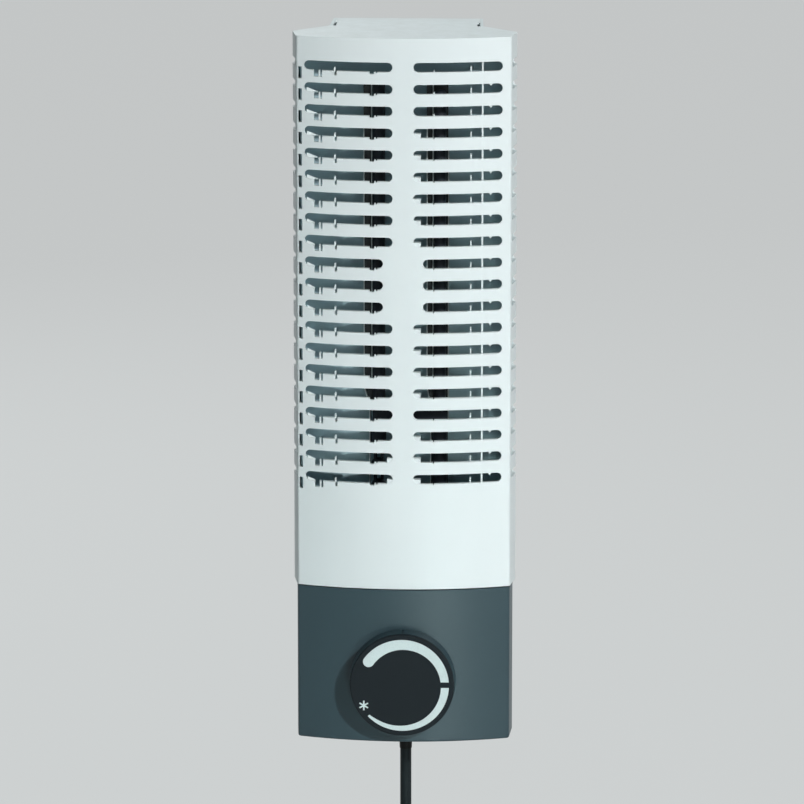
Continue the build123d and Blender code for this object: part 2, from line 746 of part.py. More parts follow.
def make_top_strap():
    left = rod_x(-1) - LEFT_LIP_FROM_ROD
    right = rod_x(1) + FAR_LIP_FROM_ROD
    return block(left, right, CRADLE_BACK, CRADLE_BACK + SHEET, TOP_STRAP_LOW, TOP_STRAP_HIGH)


def make_rod_strap():
    front_y = ROD_Y - ROD_R
    outline = [
        (STRAP_LEFT, STRAP_TOP),
        (STRAP_LEFT + STRAP_SLANT, STRAP_BOTTOM),
        (STRAP_RIGHT, STRAP_BOTTOM),
        (STRAP_RIGHT, STRAP_TOP),
    ]
    strap = side_plate(outline, front_y - SHEET, front_y)
    return strap - bar(1.5, 0, (STRAP_BOTTOM + STRAP_TOP) / 2, front_y - 2, front_y + 1)


def make_strap_standoff():
    middle = (STRAP_BOTTOM + STRAP_TOP) / 2
    standoff = Pos(0, SHEET_Y, middle) * Rot(90, 0, 0) * extrude(
        RegularPolygon(3.5, 6), SHEET_Y - (ROD_Y - ROD_R)
    )
    return standoff - bar(1.5, 0, middle, ROD_Y - ROD_R - 1, ROD_Y + 1)


def make_strap_screw():
    return pan_screw_y(0, (STRAP_BOTTOM + STRAP_TOP) / 2, ROD_Y - ROD_R - SHEET, 5)


# Over-temperature cut-out behind the reflector
def make_limiter():
    body = bar(LIMITER_R, LIMITER_X, LIMITER_Z, LIP_Y, LIP_Y + 4)
    body += bar(LIMITER_R - 1.5, LIMITER_X, LIMITER_Z, LIP_Y + 4, LIP_Y + 9)
    return body - make_limiter_tabs()


def make_limiter_clip():
    reach = 10.0
    back = LIP_Y + 9
    low = LIMITER_Z - 3
    high = LIMITER_Z + 3
    clip = block(LIMITER_X - reach, LIMITER_X + reach, back, back + 0.8, low, high)
    for side in (-1, 1):
        edge = LIMITER_X + side * reach
        clip += block(edge - side * 0.8, edge, LIP_Y, back + 0.8, low, high)
        clip += block(edge, edge + side * 4, LIP_Y, LIP_Y + 0.8, low, high)
    return clip


LIMITER_TAB_X = (LIMITER_X - 3.5, LIMITER_X + 3.5)
LIMITER_TAB_Y = LIP_Y + 6.5
LIMITER_TAB_END = LIMITER_Z - 17


def make_limiter_tabs():
    tabs = []
    for x in LIMITER_TAB_X:
        top = LIMITER_Z - 3
        tabs.append(block(x - 1.6, x + 1.6, LIMITER_TAB_Y, LIMITER_TAB_Y + 0.8, LIMITER_TAB_END, top))
    return Compound(tabs)


# Thermostat: box, spindle, cam, lever with its bimetal, and contacts
def make_thermostat_box():
    box = block(BOX_LEFT, BOX_RIGHT, PANEL_SEAT_Y, BOX_BACK_Y, BOX_BOTTOM, BOX_TOP)
    box -= block(
        BOX_LEFT + BOX_WALL,
        BOX_RIGHT - BOX_WALL,
        PANEL_SEAT_Y + 2,
        BOX_BACK_Y + 1,
        BOX_BOTTOM + BOX_WALL,
        BOX_TOP - BOX_WALL,
    )
    box -= bar(SPINDLE_R + RUNNING_GAP, 0, DIAL_Z, PANEL_SEAT_Y - 1, PANEL_SEAT_Y + 3)
    for side in (-1, 1):
        box += bar(3.5, side * SCREW_PITCH / 2, DIAL_Z, PANEL_SEAT_Y, PANEL_SEAT_Y + 5)
        box -= bar(1.6, side * SCREW_PITCH / 2, DIAL_Z, PANEL_SEAT_Y - 1, PANEL_SEAT_Y + 6)
    box -= bar(1.5, LEVER_X, lever_z(), PANEL_SEAT_Y - 1, PANEL_SEAT_Y + 3)
    for x in TAB_X:
        box -= block(x - 2.0, x + 2.0, TAB_Y, TAB_Y + 0.8, BOX_TOP - 3, BOX_TOP + 1)
    return box


def spindle_face():
    face = Circle(SPINDLE_R)
    return face - Pos(0, SPINDLE_FLAT + 2) * Rectangle(8, 4)


def make_spindle():
    round_part = bar(SPINDLE_R, 0, DIAL_Z, COLLAR_Y + 4, CAM_Y - 1)
    flange = bar(4.5, 0, DIAL_Z, PANEL_SEAT_Y + 2.1, CAM_Y)
    flat_part = Pos(0, COLLAR_Y + 4, DIAL_Z) * Rot(90, 0, 0) * extrude(spindle_face(), 8.3)
    tail = Pos(0, CAM_Y + CAM_THICK + 2, DIAL_Z) * Rot(90, 0, 0) * extrude(
        spindle_face(), CAM_THICK + 2
    )
    return round_part + flange + flat_part + tail


def cam_radius(turn):
    # the radius that meets the lever's nose when the dial stands at this angle
    return CAM_LOW + CAM_RISE * (turn - DIAL_MIN) / (DIAL_MAX - DIAL_MIN)


def make_cam():
    # the nose touches the cam at its lowest point, so a turn brings another part of the rim there
    margin = 12.0
    steps = 20
    span = DIAL_MAX - DIAL_MIN + 2 * margin
    points = []
    for step in range(steps + 1):
        turn = DIAL_MIN - margin + span * step / steps
        angle = radians(-90 - turn)
        points.append((cam_radius(turn) * cos(angle), cam_radius(turn) * sin(angle)))
    rim = Spline(*points)
    face = make_face(rim + Line(rim @ 1, rim @ 0)) - spindle_face()
    return Pos(0, CAM_Y + CAM_THICK, DIAL_Z) * Rot(90, 0, 0) * extrude(face, CAM_THICK)


def nose_z():
    return DIAL_Z - cam_radius(0) - NOSE_R - NOSE_GAP


def lever_z():
    # level with the nose when the dial is at the middle of its travel
    middle = cam_radius((DIAL_MIN + DIAL_MAX) / 2)
    return DIAL_Z - middle - NOSE_R - NOSE_GAP


def make_lever():
    nose = bar(NOSE_R, 0, nose_z(), CAM_Y + 0.2, CAM_Y + CAM_THICK - 0.2)
    tilt = atan((nose_z() - lever_z()) / -LEVER_X)
    length = -LEVER_X / cos(tilt)
    arm = Pos(LEVER_X, CAM_Y + CAM_THICK + 1.1, lever_z()) * Rot(0, -degrees(tilt), 0)
    arm = arm * (Pos(length / 2, 0, 0) * Box(length, 2.2, 2.6))
    hub = bar(3.2, LEVER_X, lever_z(), CAM_Y + 0.2, CAM_Y + CAM_THICK + 2.2)
    nose_stem = bar(1.3, 0, nose_z(), CAM_Y + CAM_THICK - 0.2, CAM_Y + CAM_THICK + 2.2)
    seat_x = LEVER_X - STRIP_OUT
    strip_seat = block(seat_x, LEVER_X - 1.6, CAM_Y + 0.5, CAM_Y + 5, lever_z(), lever_z() + 4)
    lever = nose + nose_stem + arm + hub + strip_seat
    return lever - bar(1.5 + RUNNING_GAP, LEVER_X, lever_z(), CAM_Y - 1, CAM_Y + 9)


def make_lever_pin():
    pin = bar(1.5, LEVER_X, lever_z(), PANEL_SEAT_Y, CAM_Y + CAM_THICK + 3)
    return pin + bar(2.4, LEVER_X, lever_z(), CAM_Y + CAM_THICK + 2.5, CAM_Y + CAM_THICK + 3.3)


def make_bimetal():
    low = lever_z() + 1.0
    x = LEVER_X - STRIP_OUT
    return block(x - 0.8, x, CAM_Y + 0.7, CAM_Y + 4.8, low, BOX_TOP - 4)


def make_contact_spring():
    # the fixed blade that the bimetal strip pushes against
    x = BOX_LEFT + BOX_WALL
    spring = block(x, x + 0.5, CAM_Y + 1, CAM_Y + 5, BOX_BOTTOM + 6, BOX_TOP - 5)
    return spring + bar_x(1.3, CAM_Y + 3, BOX_TOP - 8, x + 0.5, x + 1.4)


def bar_x(radius, y, z, x0, x1):
    return Pos((x0 + x1) / 2, y, z) * Rot(0, 90, 0) * Cylinder(radius, abs(x1 - x0))


def make_snap_magnet():
    x = BOX_LEFT + BOX_WALL
    return block(x, x + 2.4, CAM_Y + 6, CAM_Y + 10, BOX_TOP - 14, BOX_TOP - 7)


def make_thermostat_tabs():
    return Compound([block(x - 2, x + 2, TAB_Y, TAB_Y + 0.8, BOX_TOP - 5, TAB_END) for x in TAB_X])


def make_thermostat_screws():
    places = [side * SCREW_PITCH / 2 for side in (-1, 1)]
    return Compound([pan_screw_y(x, DIAL_Z, COLLAR_Y, 13, 1.6, 3.0) for x in places])


# Knob with its printed scale
def scale_radius(share):
    return SCALE_R - SCALE_THIN - (SCALE_THICK - SCALE_THIN) * share**SCALE_GROWTH


def scale_face():
    inner = []
    for step in range(SCALE_STEPS + 1):
        share = step / SCALE_STEPS
        angle = radians(SCALE_START + (SCALE_END - SCALE_START) * share)
        inner.append((scale_radius(share) * cos(angle), scale_radius(share) * sin(angle)))
    start = radians(SCALE_START)
    end = radians(SCALE_END)
    middle = (start + end) / 2
    rim = ThreePointArc(
        (SCALE_R * cos(start), SCALE_R * sin(start)),
        (SCALE_R * cos(middle), SCALE_R * sin(middle)),
        (SCALE_R * cos(end), SCALE_R * sin(end)),
    )
    inside = Spline(*inner)
    cap_r = (SCALE_R - scale_radius(1)) / 2
    tip_r = SCALE_R - cap_r
    cap = Pos(tip_r * cos(end), tip_r * sin(end)) * Circle(cap_r)
    face = make_face(rim + Line(rim @ 1, inside @ 1) + inside + Line(inside @ 0, rim @ 0)) + cap
    return face - Pos(SCALE_R, 0.4) * Rectangle(20, SCALE_GAP)


def frost_face():
    star = Rot(0, 0, 30) * Rectangle(2 * FROST_ARM, FROST_ARM_WIDTH)
    for turn in (90, 150):
        star += Rot(0, 0, turn) * Rectangle(2 * FROST_ARM, FROST_ARM_WIDTH)
    angle = radians(FROST_ANGLE)
    return Pos(FROST_R * cos(angle), FROST_R * sin(angle)) * star


def printed(face, proud=0.0):
    return Pos(0, KNOB_FACE_Y + PRINT_DEPTH, DIAL_Z) * Rot(90, 0, 0) * extrude(face, PRINT_DEPTH + proud)


def make_knob():
    edge_back = KNOB_FACE_Y + KNOB_EDGE
    knob = bar(KNOB_R, 0, DIAL_Z, KNOB_FACE_Y, edge_back)
    knob = fillet(knob.edges().group_by(Axis.Y)[0], 0.5)
    knob += bar(SKIRT_R, 0, DIAL_Z, edge_back - 0.1, KNOB_BACK_Y)
    knob -= bar(SKIRT_R - KNOB_SKIN, 0, DIAL_Z, KNOB_FACE_Y + KNOB_SKIN, KNOB_BACK_Y + 1)
    knob += bar(HUB_R, 0, DIAL_Z, KNOB_FACE_Y + KNOB_SKIN, COLLAR_Y + 2.5)
    bore = Pos(0, COLLAR_Y + 3, DIAL_Z) * Rot(90, 0, 0) * extrude(spindle_face(), 7.3)
    knob -= bore
    for turn in range(0, 360, 45):
        web = block(-0.6, 0.6, KNOB_FACE_Y + KNOB_SKIN, KNOB_BACK_Y - 2.5, HUB_R - 0.3, SKIRT_R - 1)
        knob += Pos(0, 0, DIAL_Z) * Rot(0, turn, 0) * web
    return knob - [printed(scale_face()), printed(frost_face())]


def make_knob_clip():
    ring = bar(HUB_R + 0.6, 0, DIAL_Z, KNOB_BACK_Y - 2.2, KNOB_BACK_Y - 0.7)
    ring -= bar(HUB_R, 0, DIAL_Z, KNOB_BACK_Y - 3, KNOB_BACK_Y)
    return ring - block(-1.5, 1.5, KNOB_BACK_Y - 3, KNOB_BACK_Y, DIAL_Z + 3, DIAL_Z + 8)


# Connections at the bottom of the casing
def make_terminal_block():
    body = block(-15, 15, WEB_Y - 16, WEB_Y, *BLOCK_Z)
    for side in (-1, 1):
        body -= post(1.7, side * CORE_X, CORE_Y, BLOCK_Z[0] - 1, BLOCK_Z[0] + 6)
        body -= post(1.7, side * CORE_X, CORE_Y, BLOCK_Z[1] - 6, BLOCK_Z[1] + 1)
        for z in (BLOCK_Z[0] + 4, BLOCK_Z[1] - 4):
            body -= bar(1.9, side * CORE_X, z, WEB_Y - 17, CORE_Y - 1.4)
    return body - block(-1, 1, WEB_Y - 17, WEB_Y - 8, BLOCK_Z[0] - 1, BLOCK_Z[1] + 1)


def make_terminal_screws():
    screws = []
    for side in (-1, 1):
        for z in (BLOCK_Z[0] + 4, BLOCK_Z[1] - 4):
            screw = bar(1.8, side * CORE_X, z, WEB_Y - 14.5, CORE_Y - 1.4)
            screws.append(screw - block(side * CORE_X - 2, side * CORE_X + 2, -23, -21.5, z - 0.3, z + 0.3))
    return Compound(screws)


def make_cord_clamp():
    top = CORD_Y - CORD_R
    clamp = block(-16, 16, top - 2.2, top, -188, -180)
    for side in (-1, 1):
        clamp += block(side * 8, side * 16, top, CORD_Y + CORD_R, -188, -180)
        clamp -= bar(1.6, side * 12, -184, top - 3, CORD_Y + CORD_R + 1)
    return clamp


def make_clamp_screws():
    top = CORD_Y - CORD_R - 2.2
    return Compound([pan_screw_y(side * 12, -184, top, 16, 1.25) for side in (-1, 1)])


def make_gland():
    neck = post(5.0, 0, CORD_Y, BOTTOM, BOTTOM + WALL)
    flange = post(7.5, 0, CORD_Y, BOTTOM + WALL, BOTTOM + WALL + 2)
    rim = post(6.2, 0, CORD_Y, BOTTOM - 1.2, BOTTOM)
    nose_length = -GLAND_TIP + BOTTOM - 1.2
    nose = Pos(0, CORD_Y, GLAND_TIP + nose_length / 2) * Cone(CORD_R + 0.3, CORD_R + 0.7, nose_length)
    gland = neck + flange + rim + nose
    return gland - post(CORD_R, 0, CORD_Y, GLAND_TIP - 1, BOTTOM + 6)


def make_inner_cord():
    return post(CORD_R, 0, CORD_Y, GLAND_TIP, INNER_CORD_TOP)


# Wires: round, bent over arcs, each on a list of corner points
def corner_radii(points, most=9.0):
    radii = []
    for before, corner, after in zip(points, points[1:], points[2:]):
        run_in = Vector(*corner) - Vector(*before)
        run_out = Vector(*after) - Vector(*corner)
        half_turn = radians(run_in.get_angle(run_out)) / 2
        radii.append(min(most, 0.45 * min(run_in.length, run_out.length) / tan(half_turn)))
    return radii


def wire_between(name, points, radius):
    radii = corner_radii(points)
    path = FilletPolyline(*points, radius=radii)
    start = Vector(*points[0])
    heading = Vector(*points[1]) - start
    wire = sweep(Plane(start, z_dir=heading) * Circle(radius), path=path)
    share = wire.volume / (pi * radius**2 * path.length)
    print(f"{name}: radii {[round(r, 1) for r in radii]}, volume share {share:.4f}")
    return wire


LEFT_PINS = (rod_x(-1) - PIN_OFFSET, rod_x(-1) + PIN_OFFSET)
RIGHT_PINS = (rod_x(1) - PIN_OFFSET, rod_x(1) + PIN_OFFSET)


def lead_routes():
    block_top = BLOCK_Z[1] - 5
    block_low = BLOCK_Z[0] + 5
    return {
        "core_live": [
            (-1.5, CORD_Y, INNER_CORD_TOP),
            (-1.5, CORD_Y, -166),
            (-CORE_X, CORE_Y, -160),
            (-CORE_X, CORE_Y, block_low),
        ],
        "core_neutral": [
            (1.5, CORD_Y, INNER_CORD_TOP),
            (1.5, CORD_Y, -166),
            (CORE_X, CORE_Y, -160),
            (CORE_X, CORE_Y, block_low),
        ],
        "lead_live": [
            (-CORE_X, CORE_Y, block_top),
            (-CORE_X, CORE_Y, -122),
            (-18, -30, -120),
            (-18, -56, -120),
            (-18, TAB_Y + 0.4, -128),
            (-18, TAB_Y + 0.4, TAB_END),
        ],
        "lead_switched": [
            (-8, TAB_Y + 0.4, TAB_END),
            (-8, TAB_Y + 0.4, -128),
            (-6, -57, -120),
            (-6, -42, -120),
            (0, -36, -108),
            (3, -36, -60),
            (LIMITER_TAB_X[0] - 6, -38, 60),
            (LIMITER_TAB_X[0], LIMITER_TAB_Y + 0.4, 100),
            (LIMITER_TAB_X[0], LIMITER_TAB_Y + 0.4, LIMITER_TAB_END),
        ],
        "lead_limited": [
            (LIMITER_TAB_X[1], LIMITER_TAB_Y + 0.4, LIMITER_TAB_END),
            (LIMITER_TAB_X[1], LIMITER_TAB_Y + 0.4, 104),
            (LIMITER_TAB_X[1] - 9, -32, 60),
            (-10, -32, -50),
            (-10, -38, -84),
            (-10, -52, -92),
            (LEFT_PINS[1], ROD_Y, -90),
            (LEFT_PINS[1], ROD_Y, PIN_END),
        ],
        "lead_link": [
            (LEFT_PINS[0], ROD_Y, PIN_END),
            (LEFT_PINS[0], ROD_Y, -94),
            (-8, -66, -100),
            (8, -66, -98),
            (RIGHT_PINS[0], ROD_Y, -92),
            (RIGHT_PINS[0], ROD_Y, PIN_END),
        ],
        "lead_neutral": [
            (CORE_X, CORE_Y, block_top),
            (CORE_X, CORE_Y, -118),
            (10, -26, -92),
            (10, -50, -89),
            (RIGHT_PINS[1], ROD_Y, -97),
            (RIGHT_PINS[1], ROD_Y, PIN_END),
        ],
    }


# The put-away hank: runs up and down, joined by half turns, drawn in at the waist by the tie
def run_side(number):
    return 1 if number % 2 == 0 else -1


def rank(number):
    # how many half steps out from the innermost run: out on the way in, and back again
    return min(number, PASSES - 1 - number)


WAIST_Z = HANK_TOP - 46.0 - RUN_HALF
MIDDLE_PASS = PASSES // 2


def layer_y(number):
    return CORD_Y - LAYER * (1 if number < MIDDLE_PASS else 2)


def bend_ends():
    # each run's place at its top end, at the waist and at its bottom end
    runs = []
    for number in range(PASSES):
        side = run_side(number)
        far = side * (FOLD_R + rank(number) * HALF_STEP)
        waist = side * (WAIST_X + rank(number) * HALF_STEP)
        y = layer_y(number)
        top = (far, y)
        middle = (waist, y)
        low = (far, y)
        if number == 0:
            top = (0.0, CORD_Y)
            middle = (waist, y + LAYER / 2)
        if number == MIDDLE_PASS:
            low = (far, layer_y(number - 1))
            middle = (waist, y + LAYER / 2)
        if number == PASSES - 1:
            middle = (0.0, y - LAYER)
        runs.append((top, middle, low))
    return runs


def s_bend(start, end):
    # two equal arcs that leave and arrive along Z
    a = Vector(*start)
    b = Vector(*end)
    rise = b.Z - a.Z
    across = Vector(b.X - a.X, b.Y - a.Y, 0)
    middle = (a + b) * 0.5
    if across.length < 1e-6:
        return [Line(a, b)]
    reach = across.length / 2
    half = rise / 2
    radius = (reach**2 + half**2) / (2 * reach)
    turn = atan(2 * reach * abs(half) / (half**2 - reach**2)) / 2
    direction = across.normalized()
    up = 1 if rise > 0 else -1

    def on_first(angle):
        return a + direction * (radius * (1 - cos(angle))) + Vector(0, 0, up * radius * sin(angle))

    first = ThreePointArc(a, on_first(turn), middle)
    second = ThreePointArc(middle, (a + b) - on_first(turn), b)
    return [first, second]


def half_turn(start, end, up):
    a = Vector(*start)
    b = Vector(*end)
    middle = (a + b) * 0.5 + Vector(0, 0, up * (b - a).length / 2)
    return [ThreePointArc(a, middle, b)]


def hank_edges():
    runs = bend_ends()
    high = WAIST_Z + RUN_HALF
    low = WAIST_Z - RUN_HALF
    edges = [Line((0, CORD_Y, HANK_TOP), (0, CORD_Y, high))]
    for number, (top, middle, bottom) in enumerate(runs):
        stations = [(*top, high), (*middle, WAIST_Z), (*bottom, low)]
        downward = number % 2 == 0
        if not downward:
            stations.reverse()
        edges += s_bend(stations[0], stations[1])
        if number == PASSES - 1:
            x, y, z = stations[1]
            edges += [Line((x, y, z), (x, y, z - 4))]
            edges += s_bend((x, y, z - 4), (x, y - TAIL_FORWARD, z - TAIL_DROP))
            edges += [Line((x, y - TAIL_FORWARD, z - TAIL_DROP), (x, y - TAIL_FORWARD, tail_z()))]
            break
        edges += s_bend(stations[1], stations[2])
        after = runs[number + 1]
        place = after[2] if downward else after[0]
        end_z = low if downward else high
        edges += half_turn(stations[2], (*place, end_z), -1 if downward else 1)
    return edges


def tail_z():
    return WAIST_Z - TAIL_DROP - 2 * CORD_R


def tail_y():
    return layer_y(PASSES - 1) - LAYER - TAIL_FORWARD


def self_gap(path, count=900):
    points = [path @ (step / (count - 1)) for step in range(count)]
    stride = path.length / (count - 1)
    skip = int(22 / stride)
    least = 1e9
    for index, point in enumerate(points):
        for other in points[index + skip :]:
            least = min(least, (point - other).length)
    return least - 2 * CORD_R


def make_hank():
    path = Wire(hank_edges())
    start = Plane((0, CORD_Y, HANK_TOP), z_dir=(0, 0, -1))
    tube = sweep(start * Circle(CORD_R), path=path)
    share = tube.volume / (pi * CORD_R**2 * path.length)
    print(f"cord_hank: length {path.length:.1f}, volume share {share:.4f}")
    print(f"cord_hank: least gap to itself {self_gap(path):.2f}")
    return tube


def make_hank_tie():
    right = WAIST_X + 2 * HALF_STEP + CORD_R + 0.4
    left = WAIST_X + 3 * HALF_STEP + CORD_R + 0.4
    back = CORD_Y + CORD_R + 0.4
    front = layer_y(PASSES - 1) - LAYER - CORD_R - 0.4
    outer = Pos((right - left) / 2, (front + back) / 2) * RectangleRounded(
        left + right + 2 * TIE_GAUGE, back - front + 2 * TIE_GAUGE, 5
    )
    inner = Pos((right - left) / 2, (front + back) / 2) * RectangleRounded(
        left + right, back - front, 4
    )
    return extrude(Pos(0, 0, WAIST_Z - TIE_HALF) * (outer - inner), 2 * TIE_HALF)


# Flat two-pin plug at the end of the tail, pins down
def plug_section(width, thick):
    cut = thick * 0.28
    half = width / 2
    side = thick / 2
    return Polyline(
        (-half, 0),
        (-half + cut, side),
        (half - cut, side),
        (half, 0),
        (half - cut, -side),
        (-half + cut, -side),
        close=True,
    )


def make_plug_body():
    top = tail_z()
    y = tail_y()
    shoulder = top - PLUG_TAIL
    face_z = shoulder - PLUG_BODY
    relief = Pos(0, y, (top + shoulder) / 2) * Cone(5.6, CORD_R + 0.5, PLUG_TAIL)
    widest = Plane((0, y, face_z)) * make_face(plug_section(PLUG_WIDTH, PLUG_THICK))
    waist = Plane((0, y, shoulder - 12)) * make_face(plug_section(PLUG_WIDTH - 3, PLUG_THICK))
    neck = Plane((0, y, shoulder)) * make_face(plug_section(14, 11))
    body = loft([widest, waist], ruled=True) + loft([waist, neck], ruled=True)
    return body + relief - make_plug_pins()


def make_plug_pins():
    face_z = tail_z() - PLUG_TAIL - PLUG_BODY
    lean = degrees(atan((PLUG_PIN_X - PLUG_PIN_TIP_X) / PLUG_PIN_LENGTH))
    pins = []
    for side in (-1, 1):
        pin = Cylinder(PLUG_PIN_R, PLUG_PIN_LENGTH + PLUG_PIN_ROOT)
        pin = fillet(pin.edges().group_by(Axis.Z)[0], 1.2)
        middle_x = side * (PLUG_PIN_X + PLUG_PIN_TIP_X) / 2
        middle_z = face_z - (PLUG_PIN_LENGTH - PLUG_PIN_ROOT) / 2
        pins.append(Pos(middle_x, tail_y(), middle_z) * Rot(0, side * lean, 0) * pin)
    return Compound(pins)


save("front_cover", make_front_cover())
save("control_panel", make_control_panel())
save("dial_collar", make_dial_collar())
save("rear_casing", make_rear_casing())
save("wall_bracket", make_wall_bracket())
save("bracket_lock_screw", make_lock_screw())
save("cover_screws", slant_screws(COVER_SCREW_Z))
save("panel_side_screws", slant_screws(PANEL_SCREW_Z))
save("panel_floor_screws", make_panel_screws())
save("chassis_screws", make_chassis_screws())
save("reflector", make_reflector())
save("control_chassis", make_control_chassis())
save("heating_rod_left", make_rod(-1, LEFT_ROD_TOP, LEFT_ROD_END))
save("heating_rod_right", make_rod(1, RIGHT_ROD_TOP, RIGHT_ROD_END))
save("rod_sleeves", make_sleeves())
save("rod_cradle_left", make_cradle(-1))
save("rod_cradle_right", make_cradle(1))
save("rod_spacers", make_spacers())
save("rod_top_strap", make_top_strap())
save("rod_strap", make_rod_strap())
save("strap_standoff", make_strap_standoff())
save("strap_screw", make_strap_screw())
save("insulator_beads", Compound([make_bead(top) for top in BEAD_TOPS]))
save("shelf_bushes", Compound([bush(-1, SHELF_Z + 4), bush(1, RIGHT_ROD_END)]))
save("limiter_body", make_limiter())
save("limiter_clip", make_limiter_clip())
save("limiter_tabs", make_limiter_tabs())
save("thermostat_box", make_thermostat_box())
save("thermostat_spindle", make_spindle())
save("thermostat_cam", make_cam())
save("thermostat_lever", make_lever())
save("lever_pin", make_lever_pin())
save("bimetal_strip", make_bimetal())
save("contact_spring", make_contact_spring())
save("snap_magnet", make_snap_magnet())
save("thermostat_tabs", make_thermostat_tabs())
save("thermostat_screws", make_thermostat_screws())
save("thermostat_knob", make_knob())
save("knob_scale", printed(scale_face(), 0.05))
save("knob_frost_mark", printed(frost_face(), 0.05))
save("knob_clip", make_knob_clip())
save("terminal_block", make_terminal_block())
save("terminal_screws", make_terminal_screws())
save("cord_clamp", make_cord_clamp())
save("clamp_screws", make_clamp_screws())
save("cord_gland", make_gland())
save("cord_inner", make_inner_cord())
for node, points in lead_routes().items():
    save(node, wire_between(node, points, LEAD_R))
save("cord", post(CORD_R, 0, CORD_Y, HANK_TOP, GLAND_TIP))
save("cord_hank", make_hank())
save("hank_tie", make_hank_tie())
save("plug_body", make_plug_body())
save("plug_pins", make_plug_pins())
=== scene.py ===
from math import cos, radians, sin

import bpy
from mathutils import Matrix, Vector


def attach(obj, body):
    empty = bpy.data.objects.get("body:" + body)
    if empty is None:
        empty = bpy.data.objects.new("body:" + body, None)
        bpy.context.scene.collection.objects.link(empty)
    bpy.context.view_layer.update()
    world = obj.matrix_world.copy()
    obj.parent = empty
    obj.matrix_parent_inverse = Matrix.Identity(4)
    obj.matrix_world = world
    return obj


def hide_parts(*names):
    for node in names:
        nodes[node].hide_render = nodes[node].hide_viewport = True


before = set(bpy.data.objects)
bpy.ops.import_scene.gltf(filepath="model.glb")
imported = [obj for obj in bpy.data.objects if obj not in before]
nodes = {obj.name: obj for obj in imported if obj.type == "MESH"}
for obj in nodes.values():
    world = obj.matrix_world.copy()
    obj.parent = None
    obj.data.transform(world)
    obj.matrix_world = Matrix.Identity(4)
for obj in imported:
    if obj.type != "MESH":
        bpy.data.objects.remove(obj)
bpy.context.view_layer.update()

# The camera stands a little to the right of the heater and looks down on it at 12 degrees, as in the
# picture, from far enough away that its upright edges stay almost parallel.
MM = 0.001
scene = bpy.context.scene
camera_target = Vector((-0.9, -69.3, -6.2)) * MM
camera_distance = 3.1915
camera_azimuth = radians(2.32)
camera_elevation = radians(12.0)
towards_camera = Vector((
    sin(camera_azimuth) * cos(camera_elevation),
    -cos(camera_azimuth) * cos(camera_elevation),
    sin(camera_elevation),
))
camera_data = bpy.data.cameras.new("camera")
camera_data.sensor_width = 36.0
camera_data.lens = 255.8
camera_data.clip_end = 50.0
camera = bpy.data.objects.new("camera", camera_data)
camera.location = camera_target + towards_camera * camera_distance
camera.rotation_mode = "QUATERNION"
camera.rotation_quaternion = (-towards_camera).to_track_quat("-Z", "Y")
scene.collection.objects.link(camera)
scene.camera = camera


# The mains flex is round black rubber, 6.4 mm thick, with faint lines along it from the extruder. It
# drops straight out of its sleeve under the panel, and the rest is folded into a hank drawn in at the
# waist by a rubber tie, with the flat plug hanging against it.
def linear(text):
    # a colour written as it looks on screen, in the renderer's own scale
    parts = [int(text[i:i + 2], 16) / 255 for i in (1, 3, 5)]
    return tuple(p / 12.92 if p <= 0.04045 else ((p + 0.055) / 1.055) ** 2.4 for p in parts) + (1.0,)


def new_material(name, colour, roughness, metal=0.0, coat=0.0, specular=0.5):
    made = bpy.data.materials.new(name)
    made.use_nodes = True
    shader = made.node_tree.nodes["Principled BSDF"]
    shader.inputs["Base Color"].default_value = linear(colour)
    shader.inputs["Roughness"].default_value = roughness
    shader.inputs["Metallic"].default_value = metal
    shader.inputs["Coat Weight"].default_value = coat
    shader.inputs["Coat Roughness"].default_value = 0.25
    shader.inputs["Specular IOR Level"].default_value = specular
    return made, made.node_tree, shader


def mapped(tree, along=(1.0, 1.0, 1.0)):
    # a place on the piece; a small number along an axis draws the pattern out that way
    place = tree.nodes.new("ShaderNodeTexCoord")
    lay = tree.nodes.new("ShaderNodeMapping")
    lay.inputs["Scale"].default_value = along
    tree.links.new(place.outputs["Object"], lay.inputs["Vector"])
    return lay.outputs["Vector"]


def noise(tree, scale, detail=3.0, rough=0.55, along=(1.0, 1.0, 1.0)):
    made = tree.nodes.new("ShaderNodeTexNoise")
    made.inputs["Scale"].default_value = scale
    made.inputs["Detail"].default_value = detail
    made.inputs["Roughness"].default_value = rough
    tree.links.new(mapped(tree, along), made.inputs["Vector"])
    return made.outputs["Fac"]


def ramp(tree, value, low, high, to_low=0.0, to_high=1.0):
    # what runs from low to high comes out from to_low to to_high
    made = tree.nodes.new("ShaderNodeMapRange")
    for key, number in (("From Min", low), ("From Max", high), ("To Min", to_low), ("To Max", to_high)):
        made.inputs[key].default_value = number
    tree.links.new(value, made.inputs["Value"])
    return made.outputs["Result"]


def tinted(tree, shader, share, colour):
    # lays another colour over whatever feeds the base colour, by that share
    base = shader.inputs["Base Color"]
    made = tree.nodes.new("ShaderNodeMix")
    made.data_type = "RGBA"
    colours = [socket for socket in made.inputs if socket.type == "RGBA"]
    if base.is_linked:
        tree.links.new(base.links[0].from_socket, colours[0])
    else:
        colours[0].default_value = base.default_value
    colours[1].default_value = linear(colour)
    tree.links.new(share, made.inputs[0])
    tree.links.new([socket for socket in made.outputs if socket.type == "RGBA"][0], base)


def roughened(tree, shader, pattern, smoothest, roughest):
    # nearly all of a noise lies between these two
    noise_low, noise_high = 0.3, 0.7
    tree.links.new(ramp(tree, pattern, noise_low, noise_high, smoothest, roughest),
                   shader.inputs["Roughness"])


def bumped(tree, shader, height, strength, depth=0.0002):
    made = tree.nodes.new("ShaderNodeBump")
    made.inputs["Strength"].default_value = strength
    made.inputs["Distance"].default_value = depth
    tree.links.new(height, made.inputs["Height"])
    if shader.inputs["Normal"].is_linked:
        tree.links.new(shader.inputs["Normal"].links[0].from_socket, made.inputs["Normal"])
    tree.links.new(made.outputs["Normal"], shader.inputs["Normal"])


